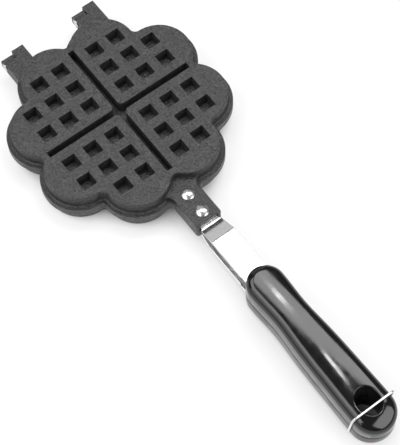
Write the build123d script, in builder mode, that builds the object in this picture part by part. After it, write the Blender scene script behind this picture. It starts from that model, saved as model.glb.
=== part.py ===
"""Stovetop waffle iron: two like castings hinged at one end, each with a riveted strap and a grip.

Frame, in millimetres: the origin is the centre of the lower plate's outer face, +X points to the
grips and +Z to the upper plate. The two plates meet at z = HALF_HEIGHT, the parting plane. The
lower half is the upper one turned over about PARTING_AXIS, so sizes that end in _RISE are measured
from the parting plane towards the outer face.
"""

import os
from math import asin, atan2, cos, sin, sqrt

from build123d import *

# Plate casting: the waffle pattern
HALF_HEIGHT = 13.6  # outer face to parting plane
PITCH = 17.8  # peg to peg
FIRST_PEG = 14.56  # centre of the first peg from either centre line
PEGS_A_SIDE = 3  # the outer corner peg of each heart is left out
RECESS = 10.5  # square hollow of a peg, at the outer face
RECESS_DEPTH = 9.2
RECESS_DRAFT = 5.0  # degrees
PEG_ROOT = 14.0  # the same peg inside, at the floor
PEG_DRAFT = 4.9  # degrees
PEG_TIP_RISE = 2.6  # peg tip to parting plane
FLOOR = 2.8  # casting thickness between the pegs
GROOVE_WIDTH = 4.7  # cross groove of the outer face
GROOVE_REACH = 59.3  # its end from the centre
GROOVE_DEPTH = 11.0
GROOVE_CORNER = 3.6
RIDGE_WALL = 1.75  # casting thickness beside the groove
RIDGE_GAP = 0.3  # ridge to parting plane

# Plate casting: the outline
LOBE_RADIUS = 24.0
LOBE_FAR, LOBE_NEAR = 48.8, 20.5  # lobe centre from the two centre lines
VALLEY_RADIUS = 4.5
WALL = 2.6
FACE_EDGE_RADIUS = 1.0
LIP_OUT = 3.5  # how far the lip at the parting plane stands out of the wall
LIP_THICKNESS = 3.0
COVE_RADIUS = 1.5
PLATE_GAP = 0.1  # either rim to the parting plane

# Tang for the strap
TANG_END = 103.8
TANG_HALF_WIDTH = 10.3
TANG_RISE = 7.3
TANG_CORNER = 2.0
TANG_EDGE_RADIUS = 1.0
TANG_BLEND = 5.0
TANG_LIP_BLEND = 5.8
TANG_INSET = 0.3  # keeps the tang's root inside the plate's wall and lip
TANG_WEB_END = 103.0  # the web over the strap ends short of the side walls
POCKET_START = 70.0
POCKET_CLEARANCE = 0.25

# Hinge
LUG_INNER, LUG_OUTER = 21.2, 40.1  # span of a lug from the centre line
LUG_RISE = 5.8
LUG_END = -90.5
PIN_X = -84.7
KNUCKLE_RADIUS = 4.0
KNUCKLE_SIDE_GAP = 0.15  # either knuckle to the middle of the lug
NOSE_DROP = 0.7  # how far the knuckle's nose reaches past the parting plane
NOSE_CORNER = 1.0
HOOD_REACH = 1.5  # end of the arm beside the knuckle, from the pin
HOOD_GAP = 0.3  # arm to the other plate's knuckle
PIN_RADIUS = 2.0
PIN_LENGTH = 17.9
PIN_CHAMFER = 0.4
PIN_HEAD_RADIUS, PIN_HEAD_HEIGHT = 3.0, 1.0
PIN_RUNNING_CLEARANCE = 0.05

# Strap
STRAP_THICKNESS = 1.5
STRAP_START, STRAP_END = 72.0, 205.0
TONGUE_WIDTH = 13.9
SHANK_WIDTH = 18.2
SLOPE_WIDTH = 17.0  # at the foot of the slope
TONGUE_RISE = 3.5  # middle of the strip
DIP_START_X, DIP_X, DIP_RISE = 101.0, 105.6, 2.0
SHANK_X, SHANK_RISE = 119.0, 7.6
STRAP_BEND = 3.0
TURNED_EDGE_DEPTH = 3.5  # edges bent towards the parting plane, from the strap's outer face
TURNED_EDGE_END = 150.0

# Rivets
RIVET_FRONT_X, RIVET_REAR_X = 79.5, 95.6
RIVET_HEAD_RADIUS, RIVET_HEAD_HEIGHT = 4.65, 2.2
RIVET_SHANK_RADIUS = 2.5
RIVET_TAIL_RADIUS, RIVET_TAIL_HEIGHT = 3.6, 1.5
RIVET_TAIL_EDGE = 0.6

# Grip
NOSE_X, NOSE_RADIUS = 165.6, 13.6  # centre and radius of the nose seen from above
TAIL_X, TAIL_RADIUS = 275.0, 15.5
SIDE_STATIONS = ((191.0, 12.7), (209.0, 13.7), (227.0, 14.6), (250.0, 15.1))  # x, half width
GRIP_RISE = 16.9
CROWN_RADIUS = 40.0
SHOULDER_RADIUS = 6.5
GRIP_EDGE_RADIUS = 0.6
HOLE_X, HOLE_LENGTH, HOLE_WIDTH = 269.8, 19.8, 15.8
HOLE_RIM = 1.0

# Grip fastening: a screw from the flat inner side, through the strap, into a brass insert
SCREW_X = 193.0
SCREW_RADIUS = 2.0
SCREW_HEAD_RADIUS, SCREW_HEAD_HEIGHT = 3.8, 2.4
SCREW_SLOT_WIDTH, SCREW_SLOT_DEPTH = 1.0, 1.1
SCREW_HEAD_RISE = 1.0
SCREW_TIP_RISE = 13.0
WASHER_RADIUS, WASHER_THICKNESS = 4.5, 0.9
SEAT_RADIUS = 5.0
INSERT_RADIUS, INSERT_END_RISE = 3.5, 14.0
BORE_CLEARANCE = 0.3
SLOT_CLEARANCE = 0.1

# Latch bail
WIRE_RADIUS = 0.8
BAIL_HALF_SPAN = 16.6
BAIL_PIVOT_X, BAIL_PIVOT_DROP = 272.0, 8.3  # the pivot lies below the parting plane
BAIL_BAR_X = 274.6
BAIL_RUNNING_GAP = 0.3  # bar to the grip's end
BAIL_END = 11.5  # inner end of the turned-in wire from the centre line
BAIL_BEND = 3.0
BAIL_FOOT_BEND = 1.2
BAIL_HOLE_CLEARANCE = 0.05
BAIL_HOLE_END = 11.0

# Worked out from the above
PARTING_AXIS = Axis((0, 0, HALF_HEIGHT), (1, 0, 0))
SIGNS = (1, -1)
RIM_Z = HALF_HEIGHT - PLATE_GAP
THROUGH = 4 * HALF_HEIGHT
PEG_OFFSETS = [FIRST_PEG + PITCH * i for i in range(PEGS_A_SIDE)]
PEG_CENTRES = [
    (sx * x, sy * y)
    for x in PEG_OFFSETS
    for y in PEG_OFFSETS
    for sx in SIGNS
    for sy in SIGNS
    if x + y < 2 * PEG_OFFSETS[-1]
]
LOBE_CENTRES = [
    (sx * x, sy * y)
    for x, y in ((LOBE_FAR, LOBE_NEAR), (LOBE_NEAR, LOBE_FAR))
    for sx in SIGNS
    for sy in SIGNS
]
LOBE_CENTRES.sort(key=lambda centre: atan2(centre[1], centre[0]))
RIDGE_WIDTH = GROOVE_WIDTH + 2 * RIDGE_WALL
RIDGE_CORNER = GROOVE_CORNER - RIDGE_WALL
LUG_MIDDLE = (LUG_INNER + LUG_OUTER) / 2
LUG_HALF_WIDTH = (LUG_OUTER - LUG_INNER) / 2
KNUCKLE_WIDTH = LUG_HALF_WIDTH - KNUCKLE_SIDE_GAP
HOOD_RADIUS = KNUCKLE_RADIUS + HOOD_GAP
TONGUE_OUTER_RISE = TONGUE_RISE + STRAP_THICKNESS / 2
SHANK_OUTER_RISE = SHANK_RISE + STRAP_THICKNESS / 2
TURNED_EDGE_RISE = SHANK_OUTER_RISE - TURNED_EDGE_DEPTH
SLOPE = (SHANK_RISE - DIP_RISE) / (SHANK_X - DIP_X)
TURNED_EDGE_START = DIP_X + (TURNED_EDGE_RISE - DIP_RISE) / SLOPE
WASHER_RISE = SCREW_HEAD_RISE + SCREW_HEAD_HEIGHT
SEAT_RISE = WASHER_RISE + WASHER_THICKNESS
END_ARC_RADIUS = GRIP_RISE + BAIL_PIVOT_DROP  # the grip's end is round about the bail's pivot
BAIL_REACH = END_ARC_RADIUS + BAIL_RUNNING_GAP + WIRE_RADIUS
BAIL_BAR_RISE = sqrt(BAIL_REACH**2 - (BAIL_BAR_X - BAIL_PIVOT_X) ** 2) - BAIL_PIVOT_DROP


def turned_over(piece):
    """The piece with its upper and lower sides exchanged, half a turn about the long axis."""
    return piece.rotate(PARTING_AXIS, 180)


def block(x_span, y_span, z_span, mode=Mode.ADD):
    """A box between two values on each axis, added to or cut from the open part."""
    spans = (x_span, y_span, z_span)
    with Locations(tuple(sum(span) / 2 for span in spans)):
        Box(*[abs(span[1] - span[0]) for span in spans], mode=mode)


def upright_cylinder(x, radius, from_rise, to_rise, mode=Mode.ADD):
    """A cylinder on the centre line of the upper half between two heights above the parting plane."""
    with Locations((x, 0, HALF_HEIGHT + from_rise)):
        Cylinder(radius, to_rise - from_rise, align=(Align.CENTER, Align.CENTER, Align.MIN), mode=mode)


def plate_outline(growth):
    """Eight lobes about an octagon, with the valleys between them rounded, grown all round."""
    with BuildSketch() as outline:
        Polygon(*LOBE_CENTRES, align=None)
        with Locations(*LOBE_CENTRES):
            Circle(LOBE_RADIUS + growth)
        valleys = outline.vertices().sort_by_distance((0, 0, 0))[: len(LOBE_CENTRES)]
        fillet(valleys, VALLEY_RADIUS - growth)
    return outline.sketch


wall_outline = plate_outline(0)
lip_outline = plate_outline(LIP_OUT)
cavity_outline = plate_outline(-WALL)


def tang_plan(growth, blend):
    """Plan of the tang with the outline it grows from, and the valley between them rounded."""
    with BuildSketch() as plan:
        add(plate_outline(growth - TANG_INSET))
        with Locations((TANG_END / 2, 0)):
            Rectangle(TANG_END, 2 * TANG_HALF_WIDTH)
        on_sides = [v for v in plan.vertices() if abs(abs(v.Y) - TANG_HALF_WIDTH) < PLATE_GAP]
        fillet([v for v in on_sides if LOBE_FAR < v.X < TANG_END - PLATE_GAP], blend)
        fillet([v for v in plan.vertices() if v.X > TANG_END - PLATE_GAP], TANG_CORNER)
    return plan.sketch


tang_outline = tang_plan(0, TANG_BLEND)
tang_lip_outline = tang_plan(LIP_OUT, TANG_LIP_BLEND)

# One plate as it lies in the lower half, before its hollows and bores
with BuildPart() as casting:
    # Side wall, with the outer face's edge rounded, and the lip with a cove above it
    with BuildSketch():
        add(wall_outline)
    extrude(amount=RIM_Z)
    fillet(casting.faces().sort_by(Axis.Z)[0].edges(), FACE_EDGE_RADIUS)
    lip_z = RIM_Z - LIP_THICKNESS
    with BuildSketch(Plane.XY.offset(lip_z)):
        add(lip_outline)
    extrude(amount=LIP_THICKNESS)
    foot_of_wall = wall_outline.wires()[0].moved(Location((0, 0, lip_z)))
    cove_edges = [e for e in casting.edges() if foot_of_wall.distance_to(e @ 0.5) < PLATE_GAP / 2]
    fillet(cove_edges, COVE_RADIUS)

    # Hinge lugs: an arm hollowed round the pin, and on its -Y half a knuckle with a square nose
    lug_base_z = HALF_HEIGHT - LUG_RISE
    for side in SIGNS:
        hood_span = (side * LUG_INNER, side * LUG_OUTER)
        block((PIN_X + HOOD_REACH, -LOBE_FAR), hood_span, (lug_base_z, RIM_Z))
        with BuildSketch(Plane.XZ.offset(LUG_HALF_WIDTH - side * LUG_MIDDLE)):
            with Locations((PIN_X, HALF_HEIGHT)):
                Circle(HOOD_RADIUS)
        extrude(amount=-2 * LUG_HALF_WIDTH, mode=Mode.SUBTRACT)
        with BuildSketch(Plane.XZ.offset(KNUCKLE_SIDE_GAP - side * LUG_MIDDLE)):
            with BuildLine():
                FilletPolyline(
                    (PIN_X, HALF_HEIGHT + NOSE_DROP),
                    (LUG_END, HALF_HEIGHT + NOSE_DROP),
                    (LUG_END, lug_base_z),
                    (PIN_X + 2 * HOOD_RADIUS, lug_base_z),
                    radius=(PLATE_GAP, NOSE_CORNER),
                )
                Polyline(
                    (PIN_X + 2 * HOOD_RADIUS, lug_base_z),
                    (PIN_X + 2 * HOOD_RADIUS, RIM_Z),
                    (PIN_X, RIM_Z),
                    (PIN_X, HALF_HEIGHT + NOSE_DROP),
                )
            make_face()
            with Locations((PIN_X, HALF_HEIGHT)):
                Circle(KNUCKLE_RADIUS)
        extrude(amount=KNUCKLE_WIDTH)

# Tang and its own lip, made apart so that its whole edge can be rounded
with BuildPart() as tang:
    with BuildSketch(Plane.XY.offset(HALF_HEIGHT - TANG_RISE)):
        add(tang_outline)
    extrude(amount=TANG_RISE - PLATE_GAP)
    fillet(tang.faces().sort_by(Axis.Z)[0].edges(), TANG_EDGE_RADIUS)
with BuildPart() as tang_lip:
    with BuildSketch(Plane.XY.offset(RIM_Z - LIP_THICKNESS)):
        add(tang_lip_outline)
    extrude(amount=LIP_THICKNESS)


def plate(pin_bore_radius):
    """The whole lower plate, with a bore of the given radius in its knuckles."""
    with BuildPart() as result:
        add(casting.part)
        add(tang.part)
        add(tang_lip.part)

        # Hollow inside, leaving the pegs and the cross ridge that parts the four hearts
        with BuildSketch(Plane.XY.offset(FLOOR)) as hearts:
            add(cavity_outline)
            Rectangle(THROUGH * PEGS_A_SIDE, RIDGE_WIDTH, mode=Mode.SUBTRACT)
            Rectangle(RIDGE_WIDTH, THROUGH * PEGS_A_SIDE, mode=Mode.SUBTRACT)
            fillet(hearts.vertices().sort_by_distance((0, 0, 0))[: len(SIGNS) ** 2], RIDGE_CORNER)
        extrude(amount=HALF_HEIGHT, mode=Mode.SUBTRACT)
        with BuildSketch(Plane.XY.offset(HALF_HEIGHT - RIDGE_GAP)):
            add(cavity_outline)
        extrude(amount=HALF_HEIGHT, mode=Mode.SUBTRACT)
        with BuildSketch(Plane.XY.offset(FLOOR)):
            with Locations(*PEG_CENTRES):
                Rectangle(PEG_ROOT, PEG_ROOT)
        extrude(amount=HALF_HEIGHT - PEG_TIP_RISE - FLOOR, taper=PEG_DRAFT)

        # The same pegs and ridge hollowed from the outer face
        with BuildSketch():
            with Locations(*PEG_CENTRES):
                Rectangle(RECESS, RECESS)
        extrude(amount=RECESS_DEPTH, taper=RECESS_DRAFT, mode=Mode.SUBTRACT)
        with BuildSketch() as groove:
            Rectangle(2 * GROOVE_REACH, GROOVE_WIDTH)
            Rectangle(GROOVE_WIDTH, 2 * GROOVE_REACH)
            fillet(groove.vertices().sort_by_distance((0, 0, 0))[: len(SIGNS) ** 2], GROOVE_CORNER)
        extrude(amount=GROOVE_DEPTH, mode=Mode.SUBTRACT)

        # Pocket for the strap's tongue, open at the tang's end, and the rivet holes
        pocket_half_width = TONGUE_WIDTH / 2 + POCKET_CLEARANCE
        block(
            (POCKET_START, 2 * TANG_END - POCKET_START),
            (-pocket_half_width, pocket_half_width),
            (HALF_HEIGHT - TONGUE_OUTER_RISE, 2 * HALF_HEIGHT),
            mode=Mode.SUBTRACT,
        )
        block(
            (TANG_WEB_END, 2 * TANG_END - POCKET_START),
            (-pocket_half_width, pocket_half_width),
            (0, 2 * HALF_HEIGHT),
            mode=Mode.SUBTRACT,
        )
        with BuildSketch():
            with Locations((RIVET_FRONT_X, 0), (RIVET_REAR_X, 0)):
                Circle(RIVET_SHANK_RADIUS)
        extrude(amount=HALF_HEIGHT, mode=Mode.SUBTRACT)

        # Hinge bores
        with BuildSketch(Plane.XZ.offset(-THROUGH)):
            with Locations((PIN_X, HALF_HEIGHT)):
                Circle(pin_bore_radius)
        extrude(amount=2 * THROUGH, mode=Mode.SUBTRACT)
    return result


lower_plate = plate(PIN_RADIUS)
running_plate = plate(PIN_RADIUS + PIN_RUNNING_CLEARANCE)
with BuildPart() as upper_plate:
    add(turned_over(running_plate.part))


def hinge_pin(side):
    """A headed pin, pressed into the lower plate's knuckle, on which the upper plate's knuckle turns."""
    seat = Plane.XZ.offset(LUG_HALF_WIDTH - side * LUG_MIDDLE)
    with BuildPart() as pin:
        with BuildSketch(seat):
            with Locations((PIN_X, HALF_HEIGHT)):
                Circle(PIN_RADIUS)
        extrude(amount=-PIN_LENGTH)
        with BuildSketch(seat):
            with Locations((PIN_X, HALF_HEIGHT)):
                Circle(PIN_HEAD_RADIUS)
        extrude(amount=PIN_HEAD_HEIGHT)
        ends = pin.faces().filter_by(Axis.Y).sort_by(Axis.Y)
        chamfer(ends[0].edges() + ends[-1].edges(), PIN_CHAMFER)
    return pin


hinge_pin_left = hinge_pin(1)
hinge_pin_right = hinge_pin(-1)

# Strap: a strip with one joggle, its edges turned towards the parting plane between tang and grip
with BuildPart() as upper_strap:
    with BuildSketch(Plane.XZ.offset(-SHANK_WIDTH / 2)):
        with BuildLine():
            FilletPolyline(
                (STRAP_START, HALF_HEIGHT + TONGUE_RISE),
                (DIP_START_X, HALF_HEIGHT + TONGUE_RISE),
                (DIP_X, HALF_HEIGHT + DIP_RISE),
                (SHANK_X, HALF_HEIGHT + SHANK_RISE),
                (STRAP_END, HALF_HEIGHT + SHANK_RISE),
                radius=STRAP_BEND,
            )
        trace(line_width=STRAP_THICKNESS)
    extrude(amount=SHANK_WIDTH)
    for outer_y in (SHANK_WIDTH / 2, STRAP_THICKNESS - SHANK_WIDTH / 2):
        with BuildSketch(Plane.XZ.offset(-outer_y)):
            Polygon(
                (TURNED_EDGE_START, HALF_HEIGHT + TURNED_EDGE_RISE),
                (SHANK_X, HALF_HEIGHT + SHANK_RISE),
                (TURNED_EDGE_END, HALF_HEIGHT + SHANK_RISE),
                (TURNED_EDGE_END, HALF_HEIGHT + TURNED_EDGE_RISE),
                align=None,
            )
        extrude(amount=STRAP_THICKNESS)
    with BuildSketch():
        Polygon(
            (STRAP_START, TONGUE_WIDTH / 2),
            (TANG_END, TONGUE_WIDTH / 2),
            (DIP_X, SLOPE_WIDTH / 2),
            (SHANK_X, SHANK_WIDTH / 2),
            (STRAP_END, SHANK_WIDTH / 2),
            (STRAP_END, -SHANK_WIDTH / 2),
            (SHANK_X, -SHANK_WIDTH / 2),
            (DIP_X, -SLOPE_WIDTH / 2),
            (TANG_END, -TONGUE_WIDTH / 2),
            (STRAP_START, -TONGUE_WIDTH / 2),
            align=None,
        )
        with Locations((RIVET_FRONT_X, 0), (RIVET_REAR_X, 0)):
            Circle(RIVET_SHANK_RADIUS, mode=Mode.SUBTRACT)
        with Locations((SCREW_X, 0)):
            Circle(SCREW_RADIUS + BORE_CLEARANCE, mode=Mode.SUBTRACT)
    extrude(amount=THROUGH, mode=Mode.INTERSECT)


def strap_rivet(x):
    """A rivet with a domed head on the tang's outer face and its tail formed inside the strap."""
    head_z = HALF_HEIGHT + TANG_RISE
    tail_z = HALF_HEIGHT + TONGUE_RISE - STRAP_THICKNESS / 2
    dome_radius = (RIVET_HEAD_RADIUS**2 + RIVET_HEAD_HEIGHT**2) / (2 * RIVET_HEAD_HEIGHT)
    dome_z = head_z + RIVET_HEAD_HEIGHT - dome_radius
    half_angle = asin(RIVET_HEAD_RADIUS / dome_radius) / 2
    with BuildPart() as rivet:
        with BuildSketch(Plane((x, 0, 0), x_dir=(1, 0, 0), z_dir=(0, -1, 0))):
            with BuildLine():
                ThreePointArc(
                    (0, head_z + RIVET_HEAD_HEIGHT),
                    (dome_radius * sin(half_angle), dome_z + dome_radius * cos(half_angle)),
                    (RIVET_HEAD_RADIUS, head_z),
                )
                Polyline(
                    (RIVET_HEAD_RADIUS, head_z),
                    (RIVET_SHANK_RADIUS, head_z),
                    (RIVET_SHANK_RADIUS, tail_z),
                    (RIVET_TAIL_RADIUS, tail_z),
                    (RIVET_TAIL_RADIUS - RIVET_TAIL_EDGE, tail_z - RIVET_TAIL_HEIGHT),
                    (0, tail_z - RIVET_TAIL_HEIGHT),
                    (0, head_z + RIVET_HEAD_HEIGHT),
                )
            make_face()
        revolve(axis=Axis((x, 0, 0), (0, 0, 1)))
    return rivet


upper_rivet_front = strap_rivet(RIVET_FRONT_X)
upper_rivet_rear = strap_rivet(RIVET_REAR_X)

# Crown of the grip: arched across, level along, and round about the bail's pivot at its end
with BuildPart() as crown:
    crown_axis_z = HALF_HEIGHT + GRIP_RISE - CROWN_RADIUS
    arc_centre = CROWN_RADIUS - END_ARC_RADIUS
    arc_end_x = BAIL_PIVOT_X + END_ARC_RADIUS
    with BuildSketch(Plane.XY.offset(crown_axis_z)):
        with BuildLine():
            CenterArc((BAIL_PIVOT_X, arc_centre), END_ARC_RADIUS, 0, 90)
            Polyline(
                (BAIL_PIVOT_X, CROWN_RADIUS),
                (STRAP_START, CROWN_RADIUS),
                (STRAP_START, 0),
                (arc_end_x, 0),
                (arc_end_x, arc_centre),
            )
        make_face()
    revolve(axis=Axis((0, 0, crown_axis_z), (1, 0, 0)))

# Grip, with the strap's slot in its nose and the fastening bores in its flat inner side
with BuildPart() as upper_grip:
    with BuildSketch(Plane.XY.offset(HALF_HEIGHT + PLATE_GAP)):
        with BuildLine():
            for side in SIGNS:
                Spline(
                    (NOSE_X, side * NOSE_RADIUS),
                    *[(x, side * half_width) for x, half_width in SIDE_STATIONS],
                    (TAIL_X, side * TAIL_RADIUS),
                    tangents=((1, 0), (1, 0)),
                )
            ThreePointArc((NOSE_X, NOSE_RADIUS), (NOSE_X - NOSE_RADIUS, 0), (NOSE_X, -NOSE_RADIUS))
            ThreePointArc((TAIL_X, TAIL_RADIUS), (TAIL_X + TAIL_RADIUS, 0), (TAIL_X, -TAIL_RADIUS))
        make_face()
    extrude(amount=2 * GRIP_RISE)
    add(crown.part, mode=Mode.INTERSECT)
    shoulder = []
    for edge in upper_grip.edges().filter_by(lambda e: e.center().Z > HALF_HEIGHT + SHOULDER_RADIUS):
        size = edge.bounding_box().size
        if min(size.X, size.Y) > PLATE_GAP:
            shoulder.append(edge)
    fillet(shoulder, SHOULDER_RADIUS)
    fillet(upper_grip.faces().sort_by(Axis.Z)[0].edges(), GRIP_EDGE_RADIUS)
    with BuildSketch():
        with Locations((HOLE_X, 0)):
            Ellipse(HOLE_LENGTH / 2, HOLE_WIDTH / 2)
    extrude(amount=THROUGH, mode=Mode.SUBTRACT)
    rim = []
    for edge in upper_grip.edges(Select.LAST):
        size = edge.bounding_box().size
        if min(size.X, size.Y) > PLATE_GAP and max(size.X, size.Y) < HOLE_LENGTH + PLATE_GAP:
            rim.append(edge)
    fillet(rim, HOLE_RIM)
    block(
        (STRAP_START, STRAP_END + BORE_CLEARANCE),
        (-SHANK_WIDTH / 2 - SLOT_CLEARANCE, SHANK_WIDTH / 2 + SLOT_CLEARANCE),
        (
            HALF_HEIGHT + SHANK_RISE - STRAP_THICKNESS / 2 - SLOT_CLEARANCE,
            HALF_HEIGHT + SHANK_OUTER_RISE + SLOT_CLEARANCE,
        ),
        mode=Mode.SUBTRACT,
    )
    upright_cylinder(SCREW_X, SEAT_RADIUS, 0, SEAT_RISE, mode=Mode.SUBTRACT)
    upright_cylinder(SCREW_X, SCREW_RADIUS + BORE_CLEARANCE, 0, SHANK_RISE, mode=Mode.SUBTRACT)
    upright_cylinder(SCREW_X, INSERT_RADIUS, SHANK_RISE, INSERT_END_RISE, mode=Mode.SUBTRACT)

with BuildPart() as upper_grip_insert:
    insert_rise = SHANK_OUTER_RISE + SLOT_CLEARANCE
    upright_cylinder(SCREW_X, INSERT_RADIUS, insert_rise, INSERT_END_RISE)
    upright_cylinder(SCREW_X, SCREW_RADIUS, insert_rise, INSERT_END_RISE, mode=Mode.SUBTRACT)

with BuildPart() as upper_grip_screw:
    upright_cylinder(SCREW_X, SCREW_RADIUS, WASHER_RISE, SCREW_TIP_RISE)
    upright_cylinder(SCREW_X, SCREW_HEAD_RADIUS, SCREW_HEAD_RISE, WASHER_RISE)
    slot_z = HALF_HEIGHT + SCREW_HEAD_RISE
    block(
        (SCREW_X - SCREW_SLOT_WIDTH / 2, SCREW_X + SCREW_SLOT_WIDTH / 2),
        (-SEAT_RADIUS, SEAT_RADIUS),
        (slot_z, slot_z + SCREW_SLOT_DEPTH),
        mode=Mode.SUBTRACT,
    )

with BuildPart() as upper_grip_washer:
    upright_cylinder(SCREW_X, WASHER_RADIUS, WASHER_RISE, SEAT_RISE)
    upright_cylinder(SCREW_X, SCREW_RADIUS + BORE_CLEARANCE, WASHER_RISE, SEAT_RISE, mode=Mode.SUBTRACT)

# The lower half, turned over from the upper one
with BuildPart() as lower_strap:
    add(turned_over(upper_strap.part))
with BuildPart() as lower_rivet_front:
    add(turned_over(upper_rivet_front.part))
with BuildPart() as lower_rivet_rear:
    add(turned_over(upper_rivet_rear.part))
with BuildPart() as lower_grip_insert:
    add(turned_over(upper_grip_insert.part))
with BuildPart() as lower_grip_screw:
    add(turned_over(upper_grip_screw.part))
with BuildPart() as lower_grip_washer:
    add(turned_over(upper_grip_washer.part))

# The lower grip also carries the latch bail's ends, in two blind holes
with BuildPart() as lower_grip:
    add(turned_over(upper_grip.part))
    for side in SIGNS:
        with BuildSketch(Plane.XZ.offset(-side * BAIL_HOLE_END)):
            with Locations((BAIL_PIVOT_X, HALF_HEIGHT - BAIL_PIVOT_DROP)):
                Circle(WIRE_RADIUS + BAIL_HOLE_CLEARANCE)
        extrude(amount=-side * (BAIL_HALF_SPAN - BAIL_HOLE_END), mode=Mode.SUBTRACT)

# Latch bail: one bent wire over the upper grip, its ends turned in to the lower one
with BuildPart() as latch_bail:
    foot_z = HALF_HEIGHT - BAIL_PIVOT_DROP
    bar_z = HALF_HEIGHT + BAIL_BAR_RISE
    with BuildLine() as wire:
        FilletPolyline(
            (BAIL_PIVOT_X, -BAIL_END, foot_z),
            (BAIL_PIVOT_X, -BAIL_HALF_SPAN, foot_z),
            (BAIL_BAR_X, -BAIL_HALF_SPAN, bar_z),
            (BAIL_BAR_X, BAIL_HALF_SPAN, bar_z),
            (BAIL_PIVOT_X, BAIL_HALF_SPAN, foot_z),
            (BAIL_PIVOT_X, BAIL_END, foot_z),
            radius=(BAIL_FOOT_BEND, BAIL_BEND, BAIL_BEND, BAIL_FOOT_BEND),
        )
    with BuildSketch(Plane(wire.line @ 0, z_dir=wire.line % 0)):
        Circle(WIRE_RADIUS)
    sweep(path=wire.line)

PIECES = {
    "lower_plate": lower_plate,
    "upper_plate": upper_plate,
    "hinge_pin_left": hinge_pin_left,
    "hinge_pin_right": hinge_pin_right,
    "lower_strap": lower_strap,
    "upper_strap": upper_strap,
    "lower_rivet_front": lower_rivet_front,
    "lower_rivet_rear": lower_rivet_rear,
    "upper_rivet_front": upper_rivet_front,
    "upper_rivet_rear": upper_rivet_rear,
    "lower_grip": lower_grip,
    "upper_grip": upper_grip,
    "lower_grip_screw": lower_grip_screw,
    "upper_grip_screw": upper_grip_screw,
    "lower_grip_washer": lower_grip_washer,
    "upper_grip_washer": upper_grip_washer,
    "lower_grip_insert": lower_grip_insert,
    "upper_grip_insert": upper_grip_insert,
    "latch_bail": latch_bail,
}

os.makedirs("parts", exist_ok=True)
for name, piece in PIECES.items():
    piece.part.label = name
    export_step(piece.part, f"parts/{name}.step")
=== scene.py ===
"""Looks for a stovetop waffle iron: hinged cast plates, riveted straps, grips and a wire latch.

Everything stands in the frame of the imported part: the origin is the centre of the lower plate's
outer face, +X points to the grips and +Z to the upper plate. The classes of the iron give their
sizes in millimetres, and the studio gives its own in metres unless a name says mm.
"""

import logging
from dataclasses import dataclass, field
from enum import Enum
from math import asin, cos, pi, radians, sin, sqrt
from typing import Any, Sequence

import bmesh
import bpy
from mathutils import Euler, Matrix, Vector


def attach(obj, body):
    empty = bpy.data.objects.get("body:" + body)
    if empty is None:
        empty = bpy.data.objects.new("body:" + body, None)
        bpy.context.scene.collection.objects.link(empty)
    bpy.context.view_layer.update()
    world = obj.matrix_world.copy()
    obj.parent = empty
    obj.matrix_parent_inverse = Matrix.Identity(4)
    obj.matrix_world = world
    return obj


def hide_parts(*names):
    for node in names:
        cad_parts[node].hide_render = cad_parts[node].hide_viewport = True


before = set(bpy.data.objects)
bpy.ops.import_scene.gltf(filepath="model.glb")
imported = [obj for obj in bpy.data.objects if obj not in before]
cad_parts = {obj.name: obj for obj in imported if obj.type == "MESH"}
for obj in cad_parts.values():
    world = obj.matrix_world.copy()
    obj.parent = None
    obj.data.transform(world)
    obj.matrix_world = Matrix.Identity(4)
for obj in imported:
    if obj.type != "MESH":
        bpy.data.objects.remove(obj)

LOG = logging.getLogger("waffle_iron")
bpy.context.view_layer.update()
MM = 0.001
HALF_HEIGHT = 13.6 * MM  # the parting plane of the two plates
POLE_MERGE = 0.001 * MM  # closes the poles and the seam of a turned piece
SEAM_MERGE = 0.0005 * MM  # joins the loose triangles of a CAD node
NOISE_MIDDLE = (0.35, 0.65)  # where most of a noise's values lie
MIX_COLOURS = (6, 7)  # a Mix node's two colour inputs
MIX_RESULT = 2  # and its colour output
EDGE_SAMPLES = 8

Node = bpy.types.Node
Socket = bpy.types.NodeSocket
Tree = bpy.types.NodeTree


class Half(Enum):
    """The two halves of the iron, each named as its body is."""

    LOWER = "lower"
    UPPER = "upper"


class Slot(Enum):
    """Material slots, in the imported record, of the pieces that stand for CAD nodes."""

    PIN = "pin"
    STRAP = "strap"
    RIVET = "rivet"
    GRIP = "grip"
    WIRE = "wire"


def linear(hex_colour: str) -> tuple[float, float, float, float]:
    """Turn an sRGB hex colour into Blender's linear one.

    Args:
        hex_colour: six hex digits after a hash sign.

    Returns:
        Red, green, blue and an alpha of one.
    """
    shares = [int(hex_colour[i : i + 2], 16) / 255 for i in (1, 3, 5)]
    red, green, blue = (
        s / 12.92 if s <= 0.04045 else ((s + 0.055) / 1.055) ** 2.4 for s in shares
    )
    return red, green, blue, 1.0


def add_node(tree: Tree, kind: str, links: dict[Any, Any] | None = None, **settings: Any) -> Node:
    """Add a node to a tree, with its settings and its inputs.

    Args:
        tree: the tree that gets the node.
        kind: the node's type, such as ShaderNodeBump.
        links: input name or number to a value or to another node's output socket.
        settings: attributes of the node itself.

    Returns:
        The new node.
    """
    node = tree.nodes.new(kind)
    for name, value in settings.items():
        setattr(node, name, value)
    for key, value in (links or {}).items():
        if isinstance(value, bpy.types.NodeSocket):
            tree.links.new(value, node.inputs[key])
        else:
            node.inputs[key].default_value = value
    return node


def per_feature(size_mm: float) -> float:
    """Scale of a noise or cell pattern whose features are about this size in millimetres."""
    return 1.0 / (size_mm * MM)


# ---------------------------------------------------------------------------------------------
# Finishes
# ---------------------------------------------------------------------------------------------


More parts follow.
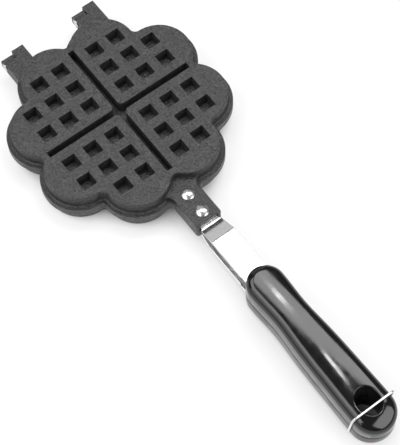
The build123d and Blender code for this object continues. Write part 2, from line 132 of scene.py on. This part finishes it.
@dataclass(frozen=True)
class Finish:
    """What every finish shares: its name, how far it rounds an edge, and how its tree starts."""

    name: str
    edge_mm: float

    def start(self) -> tuple[bpy.types.Material, Tree, Node, Node]:
        """Make the material with a Principled shader, object coordinates and softened edges.

        Returns:
            The material, its tree, the coordinate node and the node whose normal rounds the edges.
        """
        material = bpy.data.materials.new(self.name)
        material.use_nodes = True
        tree = material.node_tree
        coordinates = add_node(tree, "ShaderNodeTexCoord")
        links = {"Radius": self.edge_mm * MM}
        edges = add_node(tree, "ShaderNodeBevel", links, samples=EDGE_SAMPLES)
        return material, tree, coordinates, edges

    def noise(self, tree: Tree, vector: Socket, size_mm: float, detail: float = 2.0) -> Socket:
        """Add a noise with features of a real size.

        Args:
            tree: the material's tree.
            vector: the coordinates that the noise reads.
            size_mm: size of its features.
            detail: how many finer layers it has.

        Returns:
            The noise's value socket.
        """
        links = {"Vector": vector, "Scale": per_feature(size_mm), "Detail": detail}
        return add_node(tree, "ShaderNodeTexNoise", links).outputs["Fac"]

    def spread(self, tree: Tree, value: Socket, low: float, high: float) -> Socket:
        """Spread the middle of a noise over a range.

        Args:
            tree: the material's tree.
            value: the noise.
            low: result where the noise is low.
            high: result where the noise is high.

        Returns:
            The spread value's socket.
        """
        least, most = NOISE_MIDDLE
        links = {
            "Value": value,
            "From Min": least,
            "From Max": most,
            "To Min": low,
            "To Max": high,
        }
        return add_node(tree, "ShaderNodeMapRange", links).outputs["Result"]

    def relief(self, tree: Tree, height: Socket, depth_mm: float, below: Node) -> Node:
        """Add a bump of a real depth over the normal of another node.

        Args:
            tree: the material's tree.
            height: the relief from 0 to 1.
            depth_mm: what 1 stands for.
            below: the bevel or bump that it lies on.

        Returns:
            The bump node.
        """
        links = {
            "Height": height,
            "Distance": depth_mm * MM,
            "Strength": 1.0,
            "Normal": below.outputs["Normal"],
        }
        return add_node(tree, "ShaderNodeBump", links)

    def complete(self, tree: Tree, roughness: Socket, bump: Node, even: dict[str, Any]) -> None:
        """Join the roughness and the relief to the shader and set what is the same all over.

        Args:
            tree: the material's tree.
            roughness: the roughness.
            bump: the last relief.
            even: shader input to its value.
        """
        shader = tree.nodes["Principled BSDF"]
        tree.links.new(roughness, shader.inputs["Roughness"])
        tree.links.new(bump.outputs["Normal"], shader.inputs["Normal"])
        for name, value in even.items():
            shader.inputs[name].default_value = value

    def material(self) -> bpy.types.Material:
        """Build the material; each finish says how."""
        raise NotImplementedError


@dataclass(frozen=True)
class NonStickCasting(Finish):
    """Die-cast aluminium, grit blasted, then sprayed with a charcoal PTFE non-stick coating.

    The blast leaves an orange-peel grain under the coat. Its real grains are a few tenths of a
    millimetre, and are drawn at more than a millimetre so that they still read at arm's length.
    The coat gives a broad dull sheen over a dark grey that is never quite even.
    """

    name: str = "nonstick_coated_cast_aluminium"
    edge_mm: float = 0.5
    coat: str = "#0d0d0e"
    coat_thin: str = "#3b3b3d"
    grain_mm: float = 1.4
    grain_detail: float = 4.0
    mottle_mm: float = 5.0
    roughness_low: float = 0.36
    roughness_high: float = 0.50
    grain_depth_mm: float = 0.8
    mottle_depth_mm: float = 0.30
    ior: float = 1.58

    def material(self) -> bpy.types.Material:
        """Build the coated casting.

        Returns:
            The material.
        """
        material, tree, coordinates, edges = self.start()
        place = coordinates.outputs["Object"]
        grain = self.noise(tree, place, self.grain_mm, self.grain_detail)
        mottle = self.noise(tree, place, self.mottle_mm)
        dark, pale = MIX_COLOURS
        links = {
            "Factor": self.spread(tree, grain, 0.0, 1.0),
            dark: linear(self.coat),
            pale: linear(self.coat_thin),
        }
        shade = add_node(tree, "ShaderNodeMix", links, data_type="RGBA")
        swell = self.relief(tree, mottle, self.mottle_depth_mm, edges)
        bump = self.relief(tree, grain, self.grain_depth_mm, swell)
        roughness = self.spread(tree, mottle, self.roughness_low, self.roughness_high)
        colour = tree.nodes["Principled BSDF"].inputs["Base Color"]
        tree.links.new(shade.outputs[MIX_RESULT], colour)
        self.complete(tree, roughness, bump, {"IOR": self.ior})
        return material


@dataclass(frozen=True)
class PhenolicMoulding(Finish):
    """Black phenolic, compression moulded in a polished steel die and left as it comes out.

    It is almost black and glossy, with the faintest orange peel, so it shows the table and the
    lamps as bands with soft edges rather than a colour of its own.
    """

    name: str = "moulded_black_phenolic"
    edge_mm: float = 1.2
    body: str = "#0a0a0b"
    roughness_low: float = 0.10
    roughness_high: float = 0.15
    peel_mm: float = 7.0
    peel_detail: float = 1.0
    peel_depth_mm: float = 0.03
    ior: float = 1.6

    def material(self) -> bpy.types.Material:
        """Build the moulded black plastic.

        Returns:
            The material.
        """
        material, tree, coordinates, edges = self.start()
        peel = self.noise(tree, coordinates.outputs["Object"], self.peel_mm, self.peel_detail)
        bump = self.relief(tree, peel, self.peel_depth_mm, edges)
        roughness = self.spread(tree, peel, self.roughness_low, self.roughness_high)
        self.complete(tree, roughness, bump, {"Base Color": linear(self.body), "IOR": self.ior})
        return material


@dataclass(frozen=True)
class RolledSteel(Finish):
    """Steel strip or wire, cold rolled or drawn and then bright plated.

    The fine draw lines run along the piece, so its highlights stretch across it. Real lines are
    finer than a tenth of a millimetre, and are drawn at half a millimetre so that they show.
    """

    name: str = "bright_plated_rolled_steel"
    edge_mm: float = 0.6
    steel: str = "#dededf"
    roughness_low: float = 0.16
    roughness_high: float = 0.28
    line_mm: float = 0.5
    line_stretch: float = 60.0
    line_depth_mm: float = 0.0015

    def material(self) -> bpy.types.Material:
        """Build the plated steel.

        Returns:
            The material.
        """
        material, tree, coordinates, edges = self.start()
        squeeze = (1 / self.line_stretch, 1.0, 1.0)
        links = {"Vector": coordinates.outputs["Object"], "Scale": squeeze}
        along = add_node(tree, "ShaderNodeMapping", links)
        lines = self.noise(tree, along.outputs["Vector"], self.line_mm)
        bump = self.relief(tree, lines, self.line_depth_mm, edges)
        roughness = self.spread(tree, lines, self.roughness_low, self.roughness_high)
        self.complete(tree, roughness, bump, {"Base Color": linear(self.steel), "Metallic": 1.0})
        return material


@dataclass(frozen=True)
class HeadedMetal(Finish):
    """Soft metal upset in a die, as a rivet head, or turned, as a threaded insert.

    The tool leaves a bright skin with shallow dimples a millimetre or two across.
    """

    name: str = "cold_headed_aluminium"
    edge_mm: float = 0.2
    metal: str = "#cacacc"
    roughness_low: float = 0.25
    roughness_high: float = 0.34
    dimple_mm: float = 1.6
    dimple_depth_mm: float = 0.010

    def material(self) -> bpy.types.Material:
        """Build the headed metal.

        Returns:
            The material.
        """
        material, tree, coordinates, edges = self.start()
        dimples = self.noise(tree, coordinates.outputs["Object"], self.dimple_mm)
        bump = self.relief(tree, dimples, self.dimple_depth_mm, edges)
        roughness = self.spread(tree, dimples, self.roughness_low, self.roughness_high)
        self.complete(tree, roughness, bump, {"Base Color": linear(self.metal), "Metallic": 1.0})
        return material


# ---------------------------------------------------------------------------------------------
# Meshes from node trees
# ---------------------------------------------------------------------------------------------


class ShapeTree:
    """A Geometry Nodes tree with named inputs, which shapes the points of an object's own mesh."""

    def __init__(self, name: str, inputs: dict[str, str]) -> None:
        """Start the tree with its input and output sockets.

        Args:
            name: what the tree is called.
            inputs: input name to socket type, after the geometry itself.
        """
        self.tree = bpy.data.node_groups.new(name, "GeometryNodeTree")
        face = self.tree.interface
        face.new_socket(name="Geometry", in_out="INPUT", socket_type="NodeSocketGeometry")
        face.new_socket(name="Geometry", in_out="OUTPUT", socket_type="NodeSocketGeometry")
        kinds = {**inputs, "Material": "NodeSocketMaterial"}
        self.sockets = {
            key: face.new_socket(name=key, in_out="INPUT", socket_type=kind)
            for key, kind in kinds.items()
        }
        self.given = self.add("NodeGroupInput").outputs

    def add(self, kind: str, links: dict[Any, Any] | None = None, **settings: Any) -> Node:
        """Add a node to the tree, as add_node does."""
        return add_node(self.tree, kind, links, **settings)

    def maths(self, operation: str, first: Any, second: Any = 0.0) -> Socket:
        """Add a maths node for one or two values and return its result's socket."""
        return self.add("ShaderNodeMath", {0: first, 1: second}, operation=operation).outputs[0]

    def close(self, mesh: Socket, crease_deg: float = 35.0) -> None:
        """Shade the mesh smooth up to a crease angle, give it its material and end the tree.

        Args:
            mesh: the geometry that the tree has made.
            crease_deg: edges that turn by more than this stay sharp.
        """
        smooth = self.add("GeometryNodeSetShadeSmooth", {"Geometry": mesh, "Shade Smooth": True})
        turn = self.add("GeometryNodeInputMeshEdgeAngle").outputs["Unsigned Angle"]
        crease = self.maths("GREATER_THAN", turn, radians(crease_deg))
        links = {"Geometry": smooth.outputs[0], "Selection": crease, "Shade Smooth": False}
        sharp = self.add("GeometryNodeSetShadeSmooth", links, domain="EDGE")
        real = self.add("GeometryNodeRealizeInstances", {"Geometry": sharp.outputs[0]})
        links = {"Geometry": real.outputs[0], "Material": self.given["Material"]}
        dressed = self.add("GeometryNodeSetMaterial", links)
        self.add("NodeGroupOutput", {"Geometry": dressed.outputs[0]})

    def shape(self, name: str, mesh: bpy.types.Mesh, values: dict[str, Any]) -> bpy.types.Object:
        """Run the tree on a mesh and keep what it makes as a plain mesh.

        Args:
            name: name of the finished piece.
            mesh: the points and edges that the tree starts from.
            values: input name to value.

        Returns:
            The finished piece, at the origin.
        """
        piece = bpy.data.objects.new(name, mesh)
        bpy.context.collection.objects.link(piece)
        modifier = piece.modifiers.new("shape", "NODES")
        modifier.node_group = self.tree
        for key, value in values.items():
            modifier[self.sockets[key].identifier] = value
        graph = bpy.context.evaluated_depsgraph_get()
        made = bpy.data.meshes.new_from_object(piece.evaluated_get(graph))
        piece.modifiers.remove(modifier)
        piece.data = made
        made.name = name
        face_outwards(made)
        return piece


def face_outwards(mesh: bpy.types.Mesh) -> None:
    """Turn every face of a closed mesh outwards.

    Args:
        mesh: the mesh, which may hold several closed pieces.
    """
    work = bmesh.new()
    work.from_mesh(mesh)
    bmesh.ops.recalc_face_normals(work, faces=work.faces)
    work.to_mesh(mesh)
    work.free()


def outline_mesh(name: str, points_mm: Sequence[Sequence[float]]) -> bpy.types.Mesh:
    """Make a mesh of points joined in a row.

    Args:
        name: name of the mesh.
        points_mm: the points in millimetres.

    Returns:
        The mesh, with edges and no faces.
    """
    mesh = bpy.data.meshes.new(name)
    corners = [[c * MM for c in point] for point in points_mm]
    mesh.from_pydata(corners, [(i, i + 1) for i in range(len(corners) - 1)], [])
    return mesh


def turned_row_tree() -> ShapeTree:
    """Build the tree that turns a profile about Z and repeats the piece along a row.

    The profile's x is a radius and its z a height. Grid columns stand for the profile's points and
    grid rows for the steps round.

    Returns:
        The tree.
    """
    inputs = {
        "Steps round": "NodeSocketInt",
        "Pieces": "NodeSocketInt",
        "First place": "NodeSocketVector",
        "Spacing": "NodeSocketVector",
        "Lean": "NodeSocketVector",
    }
    tree = ShapeTree("turned_row", inputs)
    given = tree.given
    links = {"Geometry": given["Geometry"]}
    size = tree.add("GeometryNodeAttributeDomainSize", links, component="MESH")
    count = size.outputs["Point Count"]
    links = {
        "Size X": 1.0,  # from -0.5 to 0.5, so adding a half gives a share of the way
        "Size Y": 1.0,
        "Vertices X": count,
        "Vertices Y": tree.maths("ADD", given["Steps round"], 1.0),
    }
    grid = tree.add("GeometryNodeMeshGrid", links)
    place = tree.add("GeometryNodeInputPosition").outputs[0]
    cell = tree.add("ShaderNodeSeparateXYZ", {0: place})
    column = tree.maths("ADD", cell.outputs["X"], 0.5)
    column = tree.maths("MULTIPLY", column, tree.maths("SUBTRACT", count, 1.0))
    column = tree.maths("ROUND", column)
    links = {"Geometry": given["Geometry"], "Value": place, "Index": column}
    profile = tree.add("GeometryNodeSampleIndex", links, data_type="FLOAT_VECTOR")
    point = tree.add("ShaderNodeSeparateXYZ", {0: profile.outputs[0]})
    angle = tree.maths("MULTIPLY", tree.maths("ADD", cell.outputs["Y"], 0.5), 2 * pi)
    links = {
        "X": tree.maths("MULTIPLY", point.outputs["X"], tree.maths("COSINE", angle)),
        "Y": tree.maths("MULTIPLY", point.outputs["X"], tree.maths("SINE", angle)),
        "Z": point.outputs["Z"],
    }
    turned = tree.add("ShaderNodeCombineXYZ", links)
    links = {"Geometry": grid.outputs["Mesh"], "Position": turned.outputs[0]}
    body = tree.add("GeometryNodeSetPosition", links)
    links = {"Geometry": body.outputs[0], "Distance": POLE_MERGE}
    merged = tree.add("GeometryNodeMergeByDistance", links)
    links = {
        "Count": given["Pieces"],
        "Start Location": given["First place"],
        "Offset": given["Spacing"],
    }
    row = tree.add("GeometryNodeMeshLine", links)
    links = {"Points": row.outputs[0], "Instance": merged.outputs[0], "Rotation": given["Lean"]}
    pieces = tree.add("GeometryNodeInstanceOnPoints", links)
    real = tree.add("GeometryNodeRealizeInstances", {"Geometry": pieces.outputs[0]})
    tree.close(real.outputs[0])
    return tree


def bent_wire_tree() -> ShapeTree:
    """Build the tree that rounds a route's corners by their own bends and runs a wire along it.

    Returns:
        The tree.
    """
    inputs = {
        "Wire radius": "NodeSocketFloat",
        "Steps round": "NodeSocketInt",
        "Bend steps": "NodeSocketInt",
    }
    tree = ShapeTree("bent_wire", inputs)
    given = tree.given
    route = tree.add("GeometryNodeMeshToCurve", {"Mesh": given["Geometry"]})
    bend = tree.add("GeometryNodeInputNamedAttribute", {"Name": "bend"}, data_type="FLOAT")
    links = {
        "Curve": route.outputs[0],
        "Radius": bend.outputs[0],
        "Count": given["Bend steps"],
    }
    rounded = tree.add("GeometryNodeFilletCurve", links, mode="POLY")
    links = {"Resolution": given["Steps round"], "Radius": given["Wire radius"]}
    ring = tree.add("GeometryNodeCurvePrimitiveCircle", links)
    links = {"Curve": rounded.outputs[0], "Profile Curve": ring.outputs[0], "Fill Caps": True}
    wire = tree.add("GeometryNodeCurveToMesh", links)
    tree.close(wire.outputs[0])
    return tree


# ---------------------------------------------------------------------------------------------
# The iron
# ---------------------------------------------------------------------------------------------


def dress(node_name: str, material: bpy.types.Material) -> None:
    """Give a CAD node its material.

    Args:
        node_name: the node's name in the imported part.
        material: the finish it gets.
    """
    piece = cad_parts[node_name]
    if not piece.material_slots:
        piece.data.materials.append(material)
    for slot in piece.material_slots:
        slot.material = material
    LOG.info("dressed %s in %s", node_name, material.name)


def hand_over(piece: bpy.types.Object, body: str, nodes: Sequence[str]) -> None:
    """Attach a finished piece to the body it rides on, and hide the CAD nodes that it stands for.

    Args:
        piece: the finished piece.
        body: the CAD body that carries it.
        nodes: the CAD nodes that it replaces.
    """
    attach(piece, body)
    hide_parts(*nodes)
    LOG.info("made %s with %d faces", piece.name, len(piece.data.polygons))


def smooth_copy(node_name: str, name: str, crease_deg: float = 32.0) -> bpy.types.Object:
    """Copy a CAD node with its triangles merged and its curved faces shaded smooth.

    Args:
        node_name: the node that is copied.
        name: name of the new piece.
        crease_deg: edges that turn by more than this stay sharp.

    Returns:
        The new piece, at the origin.
    """
    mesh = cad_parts[node_name].data.copy()
    mesh.name = name
    mesh.materials.clear()
    work = bmesh.new()
    work.from_mesh(mesh)
    bmesh.ops.remove_doubles(work, verts=work.verts, dist=SEAM_MERGE)
    for face in work.faces:
        face.smooth = True
        face.material_index = 0
    for edge in work.edges:
        edge.smooth = edge.calc_face_angle(pi) < radians(crease_deg)
    work.to_mesh(mesh)
    work.free()
    piece = bpy.data.objects.new(name, mesh)
    bpy.context.collection.objects.link(piece)
    return piece


@dataclass
class Plates:
    """The two cast plates."""

    casting: Finish = field(default_factory=NonStickCasting)

    def build(self) -> None:
        """Dress both castings."""
        casting = self.casting.material()
        for half in Half:
            dress(f"{half.value}_plate", casting)


@dataclass
class HingePins:
    """The two headed pins, pressed in the lower plate's knuckles."""

    pin_x: float = -84.7
    seat_y: tuple[float, float] = (21.2, -40.1)  # under each head
    shank_radius: float = 2.0
    head_radius: float = 3.0
    head_height: float = 1.0
    length: float = 17.9
    chamfer: float = 0.4
    dome: float = 0.25  # the head is slightly crowned
    dome_steps: int = 4
    steps_round: int = 48
    steel: Finish = field(
        default_factory=lambda: RolledSteel(name="turned_steel_pin", steel="#cfcfd1", edge_mm=0.2)
    )

    def profile(self) -> list[tuple[float, float, float]]:
        """Radius and height of the pin from the middle of its head to the middle of its tip.

        Returns:
            Points in millimetres, with the head above z = 0.
        """
        flat = self.head_radius - self.chamfer
        top = self.head_height
        shares = [i / self.dome_steps for i in range(self.dome_steps + 1)]
        crown = [(flat * share, 0.0, top - self.dome * share**2) for share in shares]
        return crown + [
            (self.head_radius, 0.0, top - self.dome - self.chamfer / 2),
            (self.head_radius, 0.0, 0.0),
            (self.shank_radius, 0.0, 0.0),
            (self.shank_radius, 0.0, self.chamfer - self.length),
            (self.shank_radius - self.chamfer, 0.0, -self.length),
            (0.0, 0.0, -self.length),
        ]

    def build(self) -> None:
        """Make both pins as one piece, with their heads towards -Y."""
        first, second = self.seat_y
        values = {
            "Steps round": self.steps_round,
            "Pieces": len(self.seat_y),
            "First place": (self.pin_x * MM, first * MM, HALF_HEIGHT),
            "Spacing": (0.0, (second - first) * MM, 0.0),
            "Lean": (pi / 2, 0.0, 0.0),
            "Material": self.steel.material(),
        }
        profile = outline_mesh("pin_profile", self.profile())
        pins = turned_row_tree().shape("hinge_pins", profile, values)
        hand_over(pins, Half.LOWER.value, ("hinge_pin_left", "hinge_pin_right"))


@dataclass
class Straps:
    """The plated straps, with their bends shaded as the smooth curves they are."""

    strip: Finish = field(default_factory=RolledSteel)

    def build(self) -> None:
        """Make a smooth copy of each strap and dress it."""
        strip = self.strip.material()
        for half in Half:
            strap = smooth_copy(f"{half.value}_strap", f"{half.value}_plated_strap")
            strap.data.materials.append(strip)
            hand_over(strap, half.value, (f"{half.value}_strap",))


@dataclass
class Rivets:
    """The domed rivets that hold each strap in its tang."""

    front_x: float = 79.5
    rear_x: float = 95.6
    head_radius: float = 4.65
    head_height: float = 2.2
    head_rim: float = 0.6  # the straight edge under the dome
    shank_radius: float = 2.5
    tail_radius: float = 3.6
    tail_height: float = 1.5
    tail_edge: float = 0.6
    seat_rise: float = 7.3  # outer face of the tang above the parting plane
    tail_seat_rise: float = 2.75
    dome_steps: int = 14
    steps_round: int = 64
    metal: Finish = field(default_factory=HeadedMetal)

    def profile(self) -> list[tuple[float, float, float]]:
        """Radius and height of a rivet from the top of its dome to the middle of its tail.

        Returns:
            Points in millimetres, with heights above the parting plane.
        """
        rise = self.head_height - self.head_rim
        dome_radius = (self.head_radius**2 + rise**2) / (2 * rise)
        half_angle = asin(self.head_radius / dome_radius)
        dome_z = self.seat_rise + self.head_height - dome_radius
        dome = []
        for i in range(self.dome_steps + 1):
            angle = half_angle * i / self.dome_steps
            dome.append((dome_radius * sin(angle), 0.0, dome_z + dome_radius * cos(angle)))
        tail_end = self.tail_seat_rise - self.tail_height
        return dome + [
            (self.head_radius, 0.0, self.seat_rise),
            (self.shank_radius, 0.0, self.seat_rise),
            (self.shank_radius, 0.0, self.tail_seat_rise),
            (self.tail_radius, 0.0, self.tail_seat_rise),
            (self.tail_radius - self.tail_edge, 0.0, tail_end),
            (0.0, 0.0, tail_end),
        ]

    def build(self) -> None:
        """Make the two rivets of each half as one piece; the lower ones are turned over."""
        tree = turned_row_tree()
        metal = self.metal.material()
        places = ("front", "rear")
        for half in Half:
            values = {
                "Steps round": self.steps_round,
                "Pieces": len(places),
                "First place": (self.front_x * MM, 0.0, HALF_HEIGHT),
                "Spacing": ((self.rear_x - self.front_x) * MM, 0.0, 0.0),
                "Lean": (pi if half is Half.LOWER else 0.0, 0.0, 0.0),
                "Material": metal,
            }
            profile = outline_mesh("rivet_profile", self.profile())
            pair = tree.shape(f"{half.value}_rivets", profile, values)
            nodes = [f"{half.value}_rivet_{place}" for place in places]
            hand_over(pair, half.value, nodes)


@dataclass
class Grips:
    """The moulded grips and the screw, washer and insert inside each."""

    moulding: Finish = field(default_factory=PhenolicMoulding)
    fastener: Finish = field(
        default_factory=lambda: RolledSteel(
            name="zinc_plated_steel", steel="#b9bbb8", roughness_high=0.4
        )
    )
    insert: Finish = field(
        default_factory=lambda: HeadedMetal(name="turned_brass", metal="#c9a75c")
    )

    def build(self) -> None:
        """Make a smooth copy of each grip, and dress it and what fastens it."""
        moulding = self.moulding.material()
        fastener = self.fastener.material()
        insert = self.insert.material()
        for half in Half:
            grip = smooth_copy(f"{half.value}_grip", f"{half.value}_moulded_grip")
            grip.data.materials.append(moulding)
            hand_over(grip, half.value, (f"{half.value}_grip",))
            dress(f"{half.value}_grip_screw", fastener)
            dress(f"{half.value}_grip_washer", fastener)
            dress(f"{half.value}_grip_insert", insert)


@dataclass
class Latch:
    """The wire bail that swings over the grips' end and holds them together."""

    wire_radius: float = 0.8
    half_span: float = 16.6
    pivot_x: float = 272.0
    pivot_rise: float = -8.3  # above the parting plane
    bar_x: float = 274.6
    end_y: float = 11.5
    grip_rise: float = 16.9  # above the parting plane, under the bar
    running_gap: float = 0.3
    foot_bend: float = 1.2
    top_bend: float = 3.0
    steps_round: int = 24
    bend_steps: int = 10
    wire: Finish = field(
        default_factory=lambda: RolledSteel(name="bright_drawn_wire", steel="#e6e6e8", edge_mm=0.1)
    )

    def route(self) -> tuple[list[tuple[float, float, float]], list[float]]:
        """Corners of the wire's centre line and the bend at each.

        Returns:
            The corners and the bend radii, in millimetres.
        """
        reach = self.grip_rise - self.pivot_rise + self.running_gap + self.wire_radius
        lean = self.bar_x - self.pivot_x
        middle = HALF_HEIGHT / MM
        bar_z = middle + self.pivot_rise + sqrt(reach**2 - lean**2)
        foot_z = middle + self.pivot_rise
        side = [
            (self.pivot_x, self.end_y, foot_z),
            (self.pivot_x, self.half_span, foot_z),
            (self.bar_x, self.half_span, bar_z),
        ]
        corners = [(x, -y, z) for x, y, z in side] + side[::-1]
        return corners, [0.0, self.foot_bend, self.top_bend, self.top_bend, self.foot_bend, 0.0]

    def build(self) -> None:
        """Bend the wire along its route."""
        corners, bends = self.route()
        mesh = outline_mesh("bail_route", corners)
        attribute = mesh.attributes.new("bend", "FLOAT", "POINT")
        attribute.data.foreach_set("value", [bend * MM for bend in bends])
        values = {
            "Wire radius": self.wire_radius * MM,
            "Steps round": self.steps_round,
            "Bend steps": self.bend_steps,
            "Material": self.wire.material(),
        }
        bail = bent_wire_tree().shape("latch_wire", mesh, values)
        hand_over(bail, "latch", ("latch_bail",))


# ---------------------------------------------------------------------------------------------
# The studio
# ---------------------------------------------------------------------------------------------


@dataclass(frozen=True)
class Softbox:
    """A rectangular lamp that gloss sees and the camera doesn't."""

    name: str
    place: tuple[float, float, float]
    aim: tuple[float, float, float]
    size: tuple[float, float]
    radiance: float
    turn: float = 0.0  # degrees about Z, for a lamp that faces straight down

    def build(self) -> None:
        """Hang the lamp, with its power worked out from its radiance and size."""
        lamp = bpy.data.lights.new(self.name, "AREA")
        lamp.shape = "RECTANGLE"
        lamp.size, lamp.size_y = self.size
        lamp.energy = self.radiance * pi * self.size[0] * self.size[1]
        holder = bpy.data.objects.new(self.name, lamp)
        holder.location = self.place
        down = Vector(self.aim) - Vector(self.place)
        if down.xy.length:
            holder.rotation_euler = down.to_track_quat("-Z", "Y").to_euler()
        else:
            holder.rotation_euler = Euler((0.0, 0.0, radians(self.turn)))
        holder.visible_camera = False
        bpy.context.collection.objects.link(holder)


@dataclass
class Studio:
    """A pale table under soft lamps, and the camera."""

    camera_place_mm: tuple[float, float, float] = (503.24, -277.44, 987.60)
    camera_turn_deg: tuple[float, float, float] = (26.587, 1.431, 53.138)
    focal_mm: float = 130.48
    sensor_mm: float = 36.0
    table_z: float = -3.4 * MM
    table_half_width: float = 2.5
    table_paint: str = "#fafafa"
    table_roughness: float = 0.9
    table_glow: float = 0.6  # share of the table's white that is its own, as the camera sees it
    painted_shade_reach: float = 0.06  # how far off the iron the painted shade can close the table in
    painted_shade_limits: tuple[float, float] = (0.12, 0.5)  # open share with no glow, and with all of it
    painted_shade_samples: int = 16
    white: str = "#ffffff"
    room_light: float = 0.16
    clip: tuple[float, float] = (0.05, 20.0)
    lamps: tuple[Softbox, ...] = (
        Softbox("softbox_over", (-0.18, 0.58, 1.3), (-0.18, 0.58, 0.0), (1.6, 0.6), 4.4, turn=57.0),
        Softbox("softbox_side", (1.25, 0.50, 0.80), (0.28, 0.0, 0.0), (1.2, 0.9), 3.0),
        Softbox("softbox_end", (-1.30, 0.41, 0.61), (0.1, 0.0, 0.0), (1.2, 0.7), 0.56),
        Softbox("softbox_near", (0.05, -1.40, 0.56), (0.10, 0.0, 0.0), (1.5, 0.55), 1.4),
        Softbox("softbox_flank", (-0.09, -0.72, 0.93), (0.21, 0.0, 0.03), (1.6, 0.66), 3.0),
        Softbox("lamp_nose", (-0.015, 0.15, 0.60), (-0.015, 0.15, 0.0), (0.025, 0.09), 21.0),
        Softbox("lamp_tail", (0.150, 0.105, 0.60), (0.150, 0.105, 0.0), (0.05, 0.05), 19.0),
    )

    def build(self) -> None:
        """Build the world, the table, the lamps and the camera."""
        self.build_world()
        self.build_table()
        for lamp in self.lamps:
            lamp.build()
        self.build_camera()
        bpy.context.scene.view_settings.view_transform = "Standard"
        LOG.info("built the studio with %d lamps", len(self.lamps))

    def build_world(self) -> None:
        """White to the camera, and a dim room to everything else."""
        world = bpy.data.worlds.new("studio")
        bpy.context.scene.world = world
        world.use_nodes = True
        tree = world.node_tree
        background = tree.nodes["Background"]
        path = add_node(tree, "ShaderNodeLightPath")
        links = {"Value": path.outputs["Is Camera Ray"], "To Min": self.room_light, "To Max": 1.0}
        strength = add_node(tree, "ShaderNodeMapRange", links)
        background.inputs["Color"].default_value = linear(self.white)
        tree.links.new(strength.outputs["Result"], background.inputs["Strength"])

    def build_table(self) -> None:
        """A white table that keeps the iron's soft shadow.

        A share of its white is its own glow to the camera, and all of it in gloss. That glow is
        painted
        shade: ambient occlusion fades it where the table is closed in, as under the hanging hole.
        """
        mesh = bpy.data.meshes.new("table")
        signs = ((-1, -1), (1, -1), (1, 1), (-1, 1))
        wide = self.table_half_width
        corners = [(x * wide, y * wide, self.table_z) for x, y in signs]
        mesh.from_pydata(corners, [], [(0, 1, 2, 3)])
        table = bpy.data.objects.new("table", mesh)
        bpy.context.collection.objects.link(table)
        material = bpy.data.materials.new("white_table")
        material.use_nodes = True
        tree = material.node_tree
        shader = tree.nodes["Principled BSDF"]
        shader.inputs["Base Color"].default_value = linear(self.table_paint)
        shader.inputs["Roughness"].default_value = self.table_roughness
        shader.inputs["Specular IOR Level"].default_value = 0.0
        path = add_node(tree, "ShaderNodeLightPath")
        links = {"Value": path.outputs["Is Camera Ray"], "To Min": 0.0, "To Max": self.table_glow}
        seen = add_node(tree, "ShaderNodeMapRange", links)
        links = {0: seen.outputs["Result"], 1: path.outputs["Is Glossy Ray"]}
        share = add_node(tree, "ShaderNodeMath", links, operation="MAXIMUM")
        # Painted shade: ambient occlusion dims the table's own glow near the iron, to the camera
        # and in gloss.
        links = {"Distance": self.painted_shade_reach}
        openness = add_node(tree, "ShaderNodeAmbientOcclusion", links, samples=self.painted_shade_samples)
        least, most = self.painted_shade_limits
        links = {"Value": openness.outputs["AO"], "From Min": least, "From Max": most}
        glow_left_by_painted_shade = add_node(tree, "ShaderNodeMapRange", links)
        links = {"Color": linear(self.white), "Strength": glow_left_by_painted_shade.outputs["Result"]}
        glow = add_node(tree, "ShaderNodeEmission", links)
        links = {0: share.outputs[0], 1: shader.outputs[0], 2: glow.outputs[0]}
        blend = add_node(tree, "ShaderNodeMixShader", links)
        tree.links.new(blend.outputs[0], tree.nodes["Material Output"].inputs["Surface"])
        mesh.materials.append(material)

    def build_camera(self) -> None:
        """The camera above the grips' side, looking down on the upper plate."""
        data = bpy.data.cameras.new("camera")
        data.sensor_fit = "AUTO"
        data.sensor_width = self.sensor_mm
        data.lens = self.focal_mm
        data.clip_start, data.clip_end = self.clip
        camera = bpy.data.objects.new("camera", data)
        camera.location = Vector(self.camera_place_mm) * MM
        camera.rotation_euler = Euler([radians(a) for a in self.camera_turn_deg], "XYZ")
        bpy.context.collection.objects.link(camera)
        bpy.context.scene.camera = camera


def main() -> None:
    """Build the studio and every part of the iron."""
    logging.basicConfig(level=logging.INFO, format="%(message)s")
    for part in (Studio(), Plates(), HingePins(), Straps(), Rivets(), Grips(), Latch()):
        part.build()


if __name__ == "__main__":
    main()
